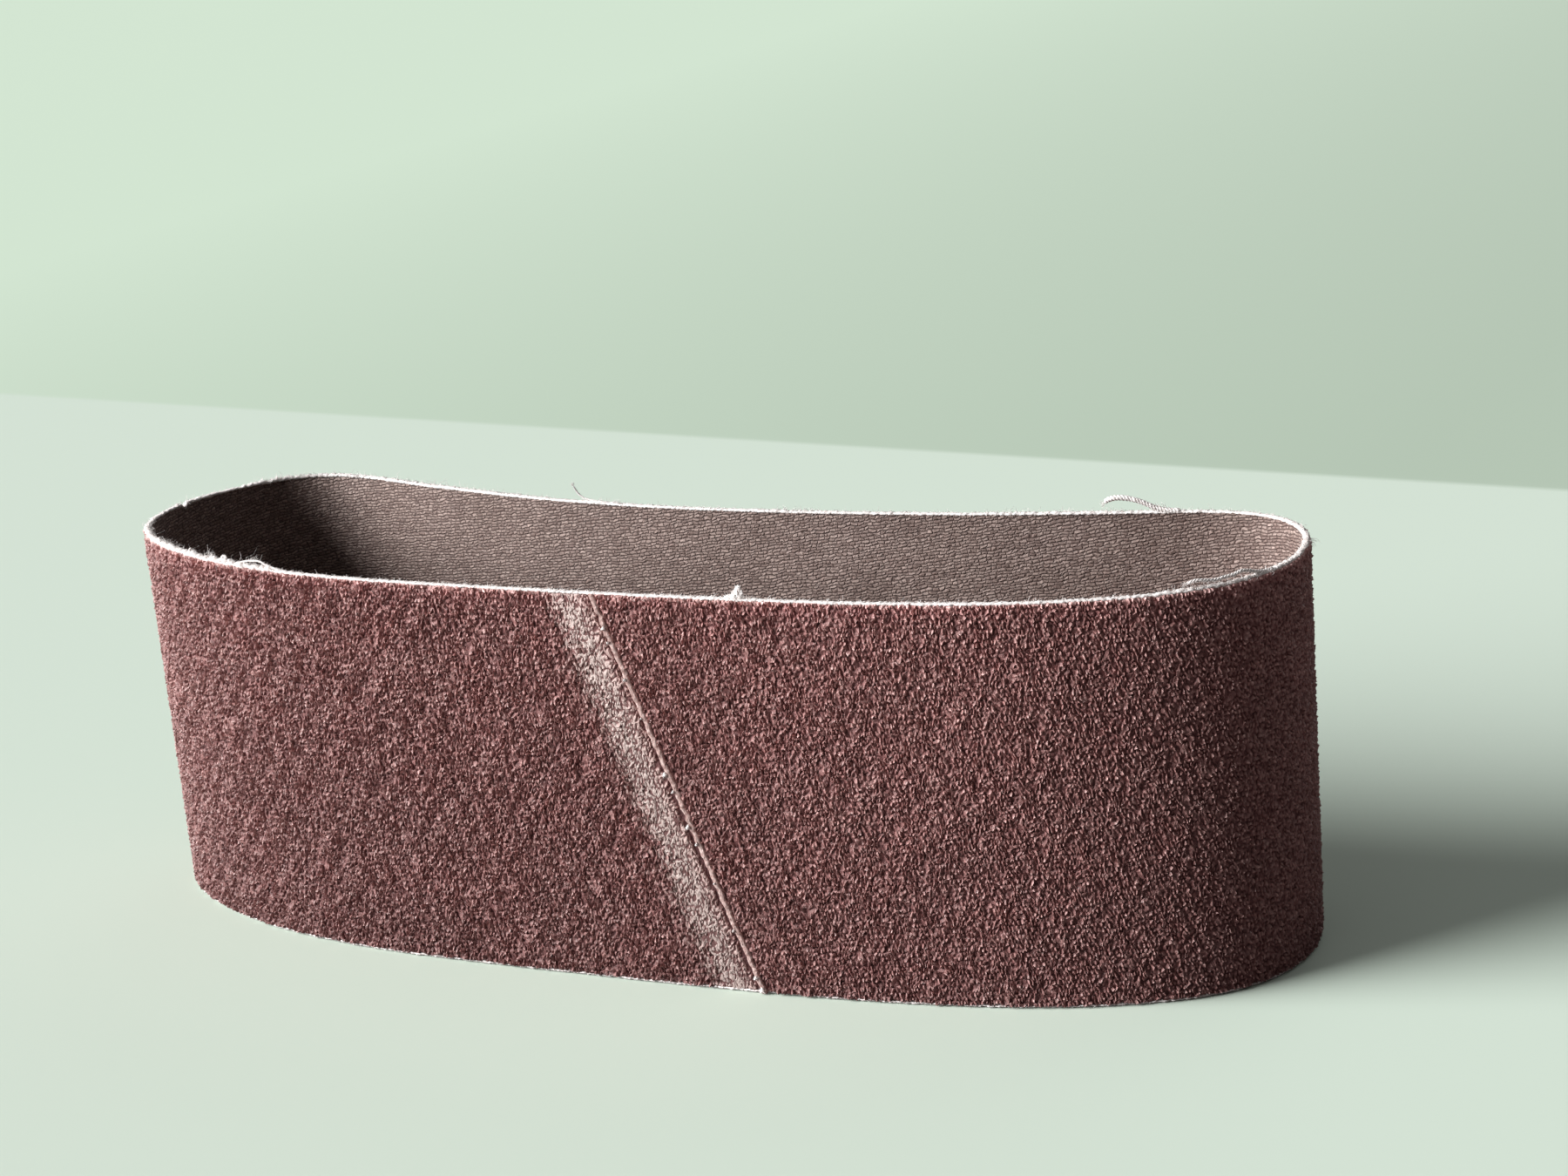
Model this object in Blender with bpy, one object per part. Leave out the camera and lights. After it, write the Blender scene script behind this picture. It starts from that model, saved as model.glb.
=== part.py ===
"""Cloth sanding belt standing on edge, 75 x 533 mm, coarse grit outside.

The belt is one closed loop of cloth with a bonded grit coat, glued end to end by a diagonal lap.
It is lofted: a section across the wall is placed at each station along the loop, and neighbouring
sections are joined. Metres, +Z up. The belt stands on its lower edge at z = 0, with the origin in
the middle of its footprint, its long side along X and the splice on the front, facing -Y.
"""

import math

import bmesh
import bpy
import numpy as np

MM = 0.001

# Belt
BELT_LENGTH = 533 * MM              # inner circumference
BELT_WIDTH = 75 * MM
CLOTH_THICKNESS = 0.7 * MM
GRIT_THICKNESS = 0.5 * MM
RIM_CHAMFER = 0.15 * MM

# Bends of the standing loop, as the pull points of a closed spline, anticlockwise from the left
# end. They give its shape, and BELT_LENGTH its size.
LOOP_PULLS = (
    (-128.0, -7.0), (-79.0, -33.0), (-19.0, -32.5), (72.0, -31.5), (124.5, -8.0),
    (114.0, 40.5), (75.0, 26.0), (-21.0, 16.5), (-83.5, 31.5), (-105.5, 37.0),
)

# Diagonal lap splice. The ply from the right lies on the ply from the left, whose grit is ground
# off up to the lap, and each ply is thinned where they overlap.
SPLICE_PLACE = 143.5 * MM           # from the left end along the front, at half the belt's width
SPLICE_ANGLE = math.radians(19.5)   # off square to the belt, leaning left at the top
LAP_LENGTH = 10 * MM                # overlap of the two plies
LAP_STEP = 0.3 * MM                 # height of the inner ply's end, on the inside
LAP_RUN_OUT = 5 * MM                # where the upper ply comes back to the loop, past the lap
LAP_SWELL = 0.2 * MM                # how far the lap stands out of the grit
GROUND_WIDTH = 7.5 * MM             # band ground down beside the lap
GROUND_DEPTH = 0.3 * MM
GROUND_FADE = 1.5 * MM              # slope from the full grit down to that band
CREVICE_WIDTH = 0.5 * MM            # open glue line under the upper ply's end
CREVICE_DEPTH = 0.3 * MM
RIDGE_WIDTH = 1.2 * MM              # bare cut edge of the upper ply
RIDGE_HEIGHT = 0.15 * MM            # above the lap
SLANT_FADE = 45 * MM                # from the slanted sections to the upright ones

# Nick in the upper rim of the rear wall
NICK_PLACE = 4.5 * MM               # from the left end along the rear
NICK_WIDTH = 1.6 * MM
NICK_DEPTH = 0.9 * MM

# Facets
STATION_PITCH = 3 * MM
ROWS = 6


def spline_point(turn):
    """Point of the closed cubic spline through one whole turn, 0 to 1, in pull point units."""
    count = len(LOOP_PULLS)
    place = (turn % 1.0) * count
    first = int(place) % count
    t = place - int(place)
    weights = ((1 - t) ** 3, 3 * t**3 - 6 * t**2 + 4, -3 * t**3 + 3 * t**2 + 3 * t + 1, t**3)
    pulls = [LOOP_PULLS[(first + step) % count] for step in range(4)]
    return sum(np.array(pull) * weight for pull, weight in zip(pulls, weights)) / 6


class Loop:
    """The belt's inner line, seen from above, measured along itself from its left end."""

    SAMPLES = 1600

    def __init__(self, length):
        turns = np.linspace(0, 1, self.SAMPLES + 1)
        points = np.array([spline_point(turn) for turn in turns])
        start = int(points[:, 0].argmin())
        points = np.roll(points[:-1], -start, axis=0)
        points = np.vstack([points, points[:1]])
        steps = np.linalg.norm(np.diff(points, axis=0), axis=1)
        self.points = points * length / steps.sum()
        self.along = np.concatenate([[0], np.cumsum(steps)]) * length / steps.sum()
        self.length = length

    def point(self, along):
        along = along % self.length
        return np.array([np.interp(along, self.along, self.points[:, axis]) for axis in (0, 1)])

    def outward(self, along):
        """Unit vector that leaves the loop square to its line."""
        reach = self.length / self.SAMPLES
        ahead = self.point(along + reach) - self.point(along - reach)
        return np.array([ahead[1], -ahead[0]]) / np.linalg.norm(ahead)


def wall_profile():
    """Corners of the wall along the belt, from the cut edge of the upper ply: (place, outer
    surface, inner surface), both surfaces measured out of the loop's inner line."""
    grit = CLOTH_THICKNESS + GRIT_THICKNESS
    ground = grit - GROUND_DEPTH
    lap = grit + LAP_SWELL
    return (
        (-CREVICE_WIDTH - GROUND_WIDTH - GROUND_FADE, grit, 0),
        (-CREVICE_WIDTH - GROUND_WIDTH, ground, 0),
        (-CREVICE_WIDTH, ground, 0),
        (-CREVICE_WIDTH / 2, ground - CREVICE_DEPTH, 0),
        (0, lap + RIDGE_HEIGHT, 0),
        (RIDGE_WIDTH, lap + RIDGE_HEIGHT, 0),
        (RIDGE_WIDTH + RIDGE_HEIGHT, lap, 0),
        (LAP_LENGTH, lap, 0),
        (LAP_LENGTH + LAP_STEP, lap, LAP_STEP),
        (LAP_LENGTH + LAP_STEP + LAP_RUN_OUT, grit, 0),
    )


def stations(profile):
    """Places of the sections, from the cut edge round to it again: the corners of the splice,
    the nick, and even steps between them."""
    nick = BELT_LENGTH - NICK_PLACE - SPLICE_PLACE
    nick_edges = (nick - NICK_WIDTH / 2, nick, nick + NICK_WIDTH / 2)
    fixed = sorted([corner[0] for corner in profile] + list(nick_edges))
    fixed.append(fixed[0] + BELT_LENGTH)
    places = []
    for start, end in zip(fixed, fixed[1:]):
        count = max(1, round((end - start) / STATION_PITCH))
        places += [start + (end - start) * step / count for step in range(count)]
    return places


def slant_share(place, profile):
    """How much of the splice's slant a section has: all of it in the splice, none far from it."""
    past = place - profile[-1][0]
    ahead = profile[0][0] + BELT_LENGTH - place
    away = max(0, min(past, ahead))
    return max(0, 1 - away / SLANT_FADE)


def rim_height(place):
    """Height of the upper rim, which dips at the nick."""
    nick = BELT_LENGTH - NICK_PLACE - SPLICE_PLACE
    off = abs(place - nick) / (NICK_WIDTH / 2)
    return BELT_WIDTH - NICK_DEPTH * max(0, 1 - off)


def section(place, profile, loop):
    """Ring of points round the wall's section at one station: up the outside, down the inside."""
    corners = [corner[0] for corner in profile]
    outer = float(np.interp(place, corners, [corner[1] for corner in profile]))
    inner = float(np.interp(place, corners, [corner[2] for corner in profile]))
    top = rim_height(place)
    slant = math.tan(SPLICE_ANGLE) * slant_share(place, profile)

    sides = [RIM_CHAMFER + (top - 2 * RIM_CHAMFER) * row / ROWS for row in range(ROWS + 1)]
    up = [(outer - RIM_CHAMFER, 0)] + [(outer, z) for z in sides] + [(outer - RIM_CHAMFER, top)]
    down = [(inner + RIM_CHAMFER, top)] + [(inner, z) for z in reversed(sides)]
    ring = []
    for offset, z in up + down + [(inner + RIM_CHAMFER, 0)]:
        along = SPLICE_PLACE + place + slant * (BELT_WIDTH / 2 - z)
        x, y = loop.point(along) + loop.outward(along) * offset
        ring.append((x, y, z))
    return ring


def loft(rings, cloth_start):
    """Closed mesh through the rings. Faces from cloth_start on round the ring are the inside."""
    bm = bmesh.new()
    loops = [[bm.verts.new(point) for point in ring] for ring in rings]
    count = len(rings[0])
    for here, ahead in zip(loops, loops[1:] + loops[:1]):
        for side in range(count):
            after = (side + 1) % count
            face = bm.faces.new((here[side], ahead[side], ahead[after], here[after]))
            face.material_index = 1 if side >= cloth_start else 0
    bmesh.ops.recalc_face_normals(bm, faces=bm.faces)
    return bm


def centre_footprint(bm):
    """Put the middle of the footprint at the origin."""
    for axis in (0, 1):
        reach = [vert.co[axis] for vert in bm.verts]
        middle = (min(reach) + max(reach)) / 2
        for vert in bm.verts:
            vert.co[axis] -= middle


def surface(name, colour, roughness):
    material = bpy.data.materials.new(name)
    material.use_nodes = True
    shader = material.node_tree.nodes["Principled BSDF"]
    shader.inputs["Base Color"].default_value = (*colour, 1)
    shader.inputs["Roughness"].default_value = roughness
    shader.inputs["Metallic"].default_value = 0
    return material


def sanding_belt():
    """The whole belt: the loop's wall, its lap splice and the nick in its rim."""
    profile = wall_profile()
    loop = Loop(BELT_LENGTH)
    rings = [section(place, profile, loop) for place in stations(profile)]
    bm = loft(rings, cloth_start=ROWS + 2)
    centre_footprint(bm)

    mesh = bpy.data.meshes.new("sanding_belt")
    bm.to_mesh(mesh)
    bm.free()
    mesh.materials.append(surface("grit_coat", (0.19, 0.085, 0.08), 0.85))
    mesh.materials.append(surface("cloth_backing", (0.14, 0.10, 0.085), 0.9))
    mesh.shade_smooth()
    mesh.set_sharp_from_angle(angle=math.radians(30))
    belt = bpy.data.objects.new("sanding_belt", mesh)
    bpy.context.collection.objects.link(belt)
    return belt


for old in list(bpy.data.objects):
    bpy.data.objects.remove(old)
sanding_belt()
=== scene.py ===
import math

import bmesh
import bpy
import numpy as np
from mathutils import Matrix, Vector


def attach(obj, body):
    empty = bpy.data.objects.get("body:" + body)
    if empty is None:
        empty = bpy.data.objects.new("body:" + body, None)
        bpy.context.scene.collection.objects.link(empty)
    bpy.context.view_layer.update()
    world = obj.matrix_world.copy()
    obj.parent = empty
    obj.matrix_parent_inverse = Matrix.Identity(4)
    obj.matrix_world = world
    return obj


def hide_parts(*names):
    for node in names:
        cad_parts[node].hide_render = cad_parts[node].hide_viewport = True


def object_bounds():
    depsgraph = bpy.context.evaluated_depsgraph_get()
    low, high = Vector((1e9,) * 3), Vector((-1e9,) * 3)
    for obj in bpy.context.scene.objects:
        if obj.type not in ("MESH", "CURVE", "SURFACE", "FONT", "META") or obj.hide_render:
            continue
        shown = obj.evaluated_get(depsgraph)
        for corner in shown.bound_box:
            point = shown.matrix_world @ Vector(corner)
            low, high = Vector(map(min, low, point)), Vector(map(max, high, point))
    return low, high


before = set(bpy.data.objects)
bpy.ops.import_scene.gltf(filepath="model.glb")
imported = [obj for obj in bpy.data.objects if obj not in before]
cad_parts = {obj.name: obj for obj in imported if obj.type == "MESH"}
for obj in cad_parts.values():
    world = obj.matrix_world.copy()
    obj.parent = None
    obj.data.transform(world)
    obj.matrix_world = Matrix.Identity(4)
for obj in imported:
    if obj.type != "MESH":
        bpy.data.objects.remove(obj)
cadLow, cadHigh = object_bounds()
mm = 0.001
body = "root"

# Sizes of the belt that the frame has. A flat place is (along the loop, out of it, up).
belt = {
    "node": "sanding_belt",
    "width": cadHigh.z,
    "cloth": 0.7 * mm,
    "grit": 0.5 * mm,
    "rimChamfer": 0.15 * mm,
    "waves": 16,                  # kept when the facets of the loop line are smoothed away
}

# Diagonal lap on the front. u is the way along the belt from the upper ply's cut edge.
lap = {
    "place": 143.5 * mm,          # from the loop's left end, at half the width
    "slant": math.tan(math.radians(19.5)),
    "overlap": 10 * mm,
    "step": 0.3 * mm,
    "runOut": 5 * mm,
    "swell": 0.2 * mm,
    "groundWidth": 7.5 * mm,
    "groundDepth": 0.3 * mm,
    "groundFade": 1.5 * mm,
    "crevice": 0.5 * mm,
    "edge": 1.05 * mm,            # bare cut edge, as it runs on the real belt
    "edgeLean": 0.25 * mm,        # further on at the foot, and less at the top
}

nick = {"place": -4.5 * mm, "width": 1.6 * mm, "depth": 0.9 * mm}


# Loop line

# Points round the lower rim of the belt, on its inner side
def innerRing(node):
    bm = bmesh.new()
    bm.from_mesh(node.data)
    bmesh.ops.remove_doubles(bm, verts=bm.verts, dist=1e-6)
    bm.normal_update()
    ahead = {}
    for edge in bm.edges:
        onFloor = [face for face in edge.link_faces if face.normal.z < -0.99]
        if len(onFloor) == 1 and max(v.co.z for v in edge.verts) < 1e-5:
            for one, other in (edge.verts, reversed(edge.verts)):
                ahead.setdefault(one, []).append(other)
    rings = []
    while ahead:
        ring = [next(iter(ahead))]
        while True:
            free = [v for v in ahead.pop(ring[-1]) if v in ahead]
            if not free:
                break
            ring.append(free[0])
        rings.append(np.array([v.co[:2] for v in ring]))
    bm.free()
    return min(rings, key=lambda ring: np.ptp(ring[:, 0]))


# The closed line through the points, in even steps, and its length
def evenSteps(points, count):
    closed = np.vstack([points, points[:1]])
    along = np.r_[0, np.cumsum(np.linalg.norm(np.diff(closed, axis=0), axis=1))]
    at = np.linspace(0, along[-1], count, endpoint=False)
    return np.stack([np.interp(at, along, closed[:, axis]) for axis in (0, 1)], axis=1), along[-1]


# Outward unit vectors along a closed anticlockwise line
def squareTo(line):
    ahead = np.roll(line, -1, axis=0) - np.roll(line, 1, axis=0)
    ahead /= np.linalg.norm(ahead, axis=1)[:, None]
    return np.stack([ahead[:, 1], -ahead[:, 0]], axis=1)


# The belt's inner line, smooth, anticlockwise from its left end
def loopLine(node):
    ring = innerRing(node)
    x, y = ring.T
    if np.sum(x * np.roll(y, -1) - y * np.roll(x, -1)) < 0:
        ring = ring[::-1]
    even = evenSteps(ring, 2048)[0]
    waves = np.fft.fft(even[:, 0] + 1j * even[:, 1])
    waves[belt["waves"] + 1:-belt["waves"]] = 0
    smooth = np.fft.ifft(waves)
    even = np.stack([smooth.real, smooth.imag], axis=1)
    even -= squareTo(even) * belt["rimChamfer"]
    return evenSteps(np.roll(even, -int(even[:, 0].argmin()), axis=0), 4096)


line, beltLength = loopLine(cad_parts[belt["node"]])
lineOut = squareTo(line)
lineAt = np.linspace(0, beltLength, len(line) + 1)
print("loop line", round(beltLength / mm, 1), "mm")


# Takes flat places round the loop
def bend(flat):
    along = np.mod(flat[:, 0], beltLength)
    at = [np.interp(along, lineAt, np.r_[line[:, axis], line[0, axis]]) for axis in (0, 1)]
    out = [np.interp(along, lineAt, np.r_[lineOut[:, axis], lineOut[0, axis]]) for axis in (0, 1)]
    return np.column_stack([at[0] + out[0] * flat[:, 1], at[1] + out[1] * flat[:, 1], flat[:, 2]])


# u of a flat place
def pastLap(along, up):
    u = along - lap["place"] - lap["slant"] * (belt["width"] / 2 - up)
    return np.mod(u + beltLength / 2, beltLength) - beltLength / 2


# u of the bare cut edge
def edgeAt(up):
    return lap["edge"] + lap["edgeLean"] * (1 - 2 * up / belt["width"])


# Height of the coat above the loop line
def outerFace(u):
    full = belt["cloth"] + belt["grit"]
    ground = full - lap["groundDepth"]
    raised = full + lap["swell"]
    at = [-lap["crevice"] - lap["groundWidth"] - lap["groundFade"],
          -lap["crevice"] - lap["groundWidth"], lap["edge"] - lap["crevice"], lap["edge"],
          lap["overlap"] + lap["step"], lap["overlap"] + lap["step"] + lap["runOut"]]
    return np.interp(u, at, [full, ground, ground, raised, raised, full])


# Height of the cloth's inner face, with the step at the inner ply's end
def innerFace(u):
    end = lap["overlap"]
    return np.interp(u, [end, end + lap["step"], end + lap["step"] + lap["runOut"]],
                     [0, lap["step"], 0])


# Height of the upper rim, with the nick in it
def rimTop(along):
    off = np.mod(along - nick["place"] + beltLength / 2, beltLength) - beltLength / 2
    dip = np.clip(1 - np.abs(off) / (nick["width"] / 2), 0, 1)
    return belt["width"] - nick["depth"] * dip


# Meshes

# A finished piece from points in place, three of them to a face
def meshPiece(name, points, triangles, material, attributes=None, smooth=False):
    used, triangles = np.unique(triangles, return_inverse=True)
    triangles = triangles.reshape(-1, 3)
    mesh = bpy.data.meshes.new(name)
    mesh.vertices.add(len(used))
    mesh.vertices.foreach_set("co", points[used].ravel())
    mesh.loops.add(triangles.size)
    mesh.loops.foreach_set("vertex_index", triangles.ravel().astype(np.int32))
    mesh.polygons.add(len(triangles))
    mesh.polygons.foreach_set("loop_start", np.arange(0, triangles.size, 3, dtype=np.int32))
    mesh.update(calc_edges=True)
    for key, values in (attributes or {}).items():
        layer = mesh.attributes.new(key, "FLOAT", "POINT")
        layer.data.foreach_set("value", values[used].astype(np.float32))
    mesh.polygons.foreach_set("use_smooth", np.full(len(triangles), smooth))
    piece = bpy.data.objects.new(name, mesh)
    bpy.context.collection.objects.link(piece)
    return finished(piece, material)


def finished(piece, material):
    piece.data.materials.clear()
    piece.data.materials.append(material)
    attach(piece, body)
    return piece


# The piece alone, with nothing of it selected, in edit mode
def editing(piece):
    bpy.ops.object.select_all(action="DESELECT")
    piece.select_set(True)
    bpy.context.view_layer.objects.active = piece
    bpy.ops.object.mode_set(mode="EDIT")
    bpy.ops.mesh.select_all(action="DESELECT")
    return bmesh.from_edit_mesh(piece.data)


def places(piece):
    values = np.empty(len(piece.data.vertices) * 3)
    piece.data.vertices.foreach_get("co", values)
    return values.reshape(-1, 3)


def setPlaces(piece, values):
    piece.data.vertices.foreach_set("co", np.asarray(values).ravel())
    piece.data.update()


# Points and triangles of closed round strands along the paths, with a radius a point
def strands(paths, radii, sides=3):
    points, triangles, first = [], [], 0
    turn = np.arange(sides) / sides * 2 * math.pi
    for path, radius in zip(paths, radii):
        path = np.asarray(path, float)
        ahead = np.gradient(path, axis=0)
        ahead /= np.linalg.norm(ahead, axis=1)[:, None] + 1e-12
        side = np.cross(ahead, (0.31, 0.87, 0.38))
        side /= np.linalg.norm(side, axis=1)[:, None] + 1e-12
        other = np.cross(ahead, side)
        ring = side[:, None] * np.cos(turn)[:, None] + other[:, None] * np.sin(turn)[:, None]
        points.append((path[:, None] + ring * np.asarray(radius)[:, None, None]).reshape(-1, 3))
        rows, around = np.meshgrid(np.arange(len(path) - 1), np.arange(sides), indexing="ij")
        here = first + rows * sides + around
        after = first + rows * sides + (around + 1) % sides
        triangles.append(np.stack([here, after, after + sides], axis=-1).reshape(-1, 3))
        triangles.append(np.stack([here, after + sides, here + sides], axis=-1).reshape(-1, 3))
        fan = np.arange(1, sides - 1)
        last = first + (len(path) - 1) * sides
        triangles.append(np.stack([np.full(len(fan), first), first + fan + 1, first + fan], axis=-1))
        triangles.append(np.stack([np.full(len(fan), last), last + fan, last + fan + 1], axis=-1))
        first += len(path) * sides
    # flat places are mirrored by the bend, so the faces are turned round here
    return np.vstack(points), np.vstack(triangles)[:, ::-1]


# A seeded smooth wandering value along the loop, about -1 to 1. reach is its shortest wave
def wander(at, reach, random, terms=24):
    total = np.zeros(len(at))
    for wave in random.integers(3, max(4, int(beltLength / reach)), terms):
        total += np.cos(at / beltLength * 2 * math.pi * wave + random.uniform(0, 2 * math.pi))
    return total / math.sqrt(terms / 2) / 1.6


# Materials

# A colour as it shows, 0 to 255, in the shader's linear values
def tone(red, green, blue):
    values = [value / 255 for value in (red, green, blue)]
    return tuple(v / 12.92 if v <= 0.04045 else ((v + 0.055) / 1.055) ** 2.4 for v in values)


# A material under way: its nodes, its links and its shader
class Finish:

    def __init__(self, name):
        self.material = bpy.data.materials.new(name)
        self.material.use_nodes = True
        self.nodes = self.material.node_tree.nodes
        self.links = self.material.node_tree.links
        self.shader = self.nodes["Principled BSDF"]

    def add(self, kind, **values):
        node = self.nodes.new("ShaderNode" + kind)
        for key, value in values.items():
            if key in node.inputs:
                node.inputs[key].default_value = value
            else:
                setattr(node, key, value)
        return node

    def join(self, output, entry):
        self.links.new(output, entry)

    def attribute(self, name):
        return self.add("Attribute", attribute_name=name).outputs["Fac"]

    def object(self):
        return self.add("TexCoord").outputs["Object"]

    def noise(self, vector, scale, detail=2, roughness=0.5):
        node = self.add("TexNoise", Scale=scale, Detail=detail, Roughness=roughness)
        self.join(vector, node.inputs["Vector"])
        return node.outputs["Fac"]

    def mapped(self, vector, **values):
        node = self.add("Mapping", **values)
        self.join(vector, node.inputs["Vector"])
        return node.outputs["Vector"]

    def ramp(self, value, stops):
        node = self.add("ValToRGB")
        elements = node.color_ramp.elements
        while len(elements) < len(stops):
            elements.new(0.5)
        for element, (place, colour) in zip(elements, stops):
            element.position = place
            element.color = (*colour, 1)
        self.join(value, node.inputs["Fac"])
        return node.outputs["Color"]

    def math(self, operation, first, second=None, third=None, clamp=False):
        node = self.add("Math", operation=operation, use_clamp=clamp)
        for index, value in enumerate((first, second, third)):
            if value is None:
                continue
            if isinstance(value, (int, float)):
                node.inputs[index].default_value = value
            else:
                self.join(value, node.inputs[index])
        return node.outputs["Value"]

    def mix(self, factor, one, other, blend="MIX"):
        node = self.add("Mix", data_type="RGBA", blend_type=blend)
        for key, value in (("Factor", factor), ("A", one), ("B", other)):
            entry = [i for i in node.inputs if i.name == key and i.enabled][0]
            if isinstance(value, (int, float)):
                entry.default_value = value
            elif isinstance(value, tuple):
                entry.default_value = (*value, 1)
            else:
                self.join(value, entry)
        return [o for o in node.outputs if o.enabled][0]

    def bump(self, height, strength, distance):
        node = self.add("Bump", Strength=strength, Distance=distance)
        self.join(height, node.inputs["Height"])
        self.join(node.outputs["Normal"], self.shader.inputs["Normal"])


# Resin-coated grains, with painted shade in the hollows and painted highlights on the crests, and the ground
# net of flats beside the lap
def gritFinish():
    made = Finish("gritCoat")
    at = made.object()
    relief, ground, tint = (made.attribute(key) for key in ("relief", "ground", "tint"))
    # colour by the height of each point: painted shade in the hollows, painted highlights on the crests
    depth = made.ramp(relief, [(0.0, tone(81, 43, 43)), (0.2, tone(115, 72, 70)),
                               (0.45, tone(141, 99, 96)), (0.75, tone(174, 136, 131)),
                               (1.0, tone(204, 174, 168))])
    shade = made.ramp(tint, [(0.0, (0.78, 0.7, 0.7)), (0.5, (1.0, 0.98, 0.98)),
                             (1.0, (1.25, 1.22, 1.22))])
    grains = made.mix(1.0, depth, shade, "MULTIPLY")

    # fine chips of grit on the belt's flat map, longer than wide, leaning left at the top. The pattern is
    # also the bump, and in the colour it paints highlights on the chips and shade between them
    flat = made.add("CombineXYZ")
    made.join(made.attribute("along"), flat.inputs["X"])
    made.join(made.attribute("up"), flat.inputs["Y"])
    leaning = made.mapped(flat.outputs["Vector"], Rotation=(0, 0, math.radians(-20)))
    strokes = made.noise(made.mapped(leaning, Scale=(3.1, 1.7, 1)), 1, 2, 0.55)
    paintedChipLightShade = made.ramp(strokes, [(0.32, (0.68, 0.64, 0.64)), (0.5, (1.0, 1.0, 1.0)),
                                 (0.68, (1.34, 1.36, 1.36))])
    grains = made.mix(1.0, grains, paintedChipLightShade, "MULTIPLY")
    patches = made.noise(at, 95, 2)
    reddish = made.ramp(patches, [(0.3, (0.96, 0.97, 0.97)), (0.5, (1.0, 1.0, 1.0)),
                                  (0.72, (1.06, 1.02, 1.02))])
    grains = made.mix(1.0, grains, reddish, "MULTIPLY")

    fray = made.noise(at, 3200, 2)
    level = made.math("MULTIPLY_ADD", fray, 0.5, made.math("SUBTRACT", relief, 0.25))
    flats = made.ramp(level, [(0.4, (0, 0, 0)), (0.54, (1, 1, 1))])
    dusty = made.ramp(made.noise(at, 1500, 3), [(0.3, tone(172, 151, 144)), (0.7, tone(214, 197, 190))])
    pits = made.ramp(relief, [(0.0, tone(98, 66, 64)), (0.6, tone(142, 108, 104))])
    worn = made.mix(flats, pits, dusty)
    colour = made.mix(ground, grains, worn)

    # painted light, paler and rosier towards the upper rim, and painted shade, darker towards the foot
    apart = made.add("SeparateXYZ")
    made.join(at, apart.inputs["Vector"])
    share = made.math("MULTIPLY", apart.outputs["Z"], 1 / belt["width"])
    paintedLightByHeight = made.ramp(share, [(0.0, (0.86, 0.85, 0.85)), (0.5, (1.0, 1.0, 1.0)),
                               (0.955, (1.12, 1.12, 1.12)), (1.0, (1.26, 1.16, 1.18))])
    made.join(made.mix(1.0, colour, paintedLightByHeight, "MULTIPLY"), made.shader.inputs["Base Color"])

    chips = made.noise(at, 2600, 1)
    dull = made.math("MULTIPLY_ADD", chips, 0.5, 0.06)
    dull = made.math("MULTIPLY_ADD", made.math("SUBTRACT", 0.75, relief, clamp=True), 0.6, dull)
    made.join(made.math("MULTIPLY_ADD", ground, 0.3, dull, clamp=True), made.shader.inputs["Roughness"])
    made.shader.inputs["Specular IOR Level"].default_value = 0.6
    fine = made.math("MULTIPLY_ADD", made.noise(at, 5000, 2), 0.3, strokes)
    made.bump(fine, 0.9, 0.00034)
    return made.material


# Cotton twill stained brown: short floats in slightly rising rows, on the belt's flat map
def clothFinish():
    made = Finish("clothBacking")
    flat = made.add("UVMap", uv_map="flat").outputs["UV"]
    flat = made.mapped(flat, Rotation=(0, 0, math.radians(9)), Scale=(1000, 1000, 1000))

    drift = made.add("TexNoise", Scale=0.55, Detail=2)
    made.join(flat, drift.inputs["Vector"])
    centred = made.add("VectorMath", operation="SUBTRACT")
    made.join(drift.outputs["Color"], centred.inputs[0])
    centred.inputs[1].default_value = (0.5, 0.5, 0.5)
    pulled = made.add("VectorMath", operation="MULTIPLY_ADD")
    made.join(centred.outputs["Vector"], pulled.inputs[0])
    pulled.inputs[1].default_value = (2.2, 1.1, 0)
    made.join(flat, pulled.inputs[2])
    flat = pulled.outputs["Vector"]

    floats = made.add("TexBrick", Scale=1, offset=0.41, offset_frequency=2, squash=0.8,
                      squash_frequency=3)
    for key, value in (("Brick Width", 1.3), ("Row Height", 0.62), ("Mortar Size", 0.2),
                       ("Mortar Smooth", 1.0), ("Bias", 0.0)):
        floats.inputs[key].default_value = value
    floats.inputs["Color1"].default_value = (*tone(186, 166, 158), 1)
    floats.inputs["Color2"].default_value = (*tone(138, 117, 110), 1)
    floats.inputs["Mortar"].default_value = (*tone(104, 84, 78), 1)
    made.join(flat, floats.inputs["Vector"])

    threads = made.noise(made.mapped(flat, Scale=(0.9, 3.4, 1)), 1.1, 3, 0.6)
    uneven = made.ramp(threads, [(0.3, (0.55, 0.53, 0.52)), (0.5, (0.95, 0.95, 0.95)),
                                 (0.72, (1.5, 1.5, 1.5))])
    colour = made.mix(1.0, floats.outputs["Color"], uneven, "MULTIPLY")
    broad = made.noise(flat, 0.06, 2)
    patches = made.ramp(broad, [(0.3, (0.82, 0.8, 0.78)), (0.7, (0.98, 0.98, 0.98))])
    colour = made.mix(1.0, colour, patches, "MULTIPLY")
    made.join(colour, made.shader.inputs["Base Color"])
    made.shader.inputs["Roughness"].default_value = 0.68

    high = made.math("SUBTRACT", 1.0, floats.outputs["Fac"])
    high = made.math("MULTIPLY_ADD", threads, 1.1, high)
    made.bump(high, 0.8, 0.00022)
    return made.material


def cottonFinish():
    made = Finish("bareCotton")
    lumps = made.noise(made.object(), 2200, 4)
    colour = made.ramp(lumps, [(0.3, tone(236, 225, 220)), (0.6, tone(253, 249, 246))])
    made.join(colour, made.shader.inputs["Base Color"])
    made.shader.inputs["Roughness"].default_value = 0.9
    made.shader.inputs["Subsurface Weight"].default_value = 0.3
    made.shader.inputs["Subsurface Scale"].default_value = 0.0004
    made.shader.inputs["Subsurface Radius"].default_value = (1, 1, 1)
    made.bump(lumps, 0.5, 0.0001)
    return made.material


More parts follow.
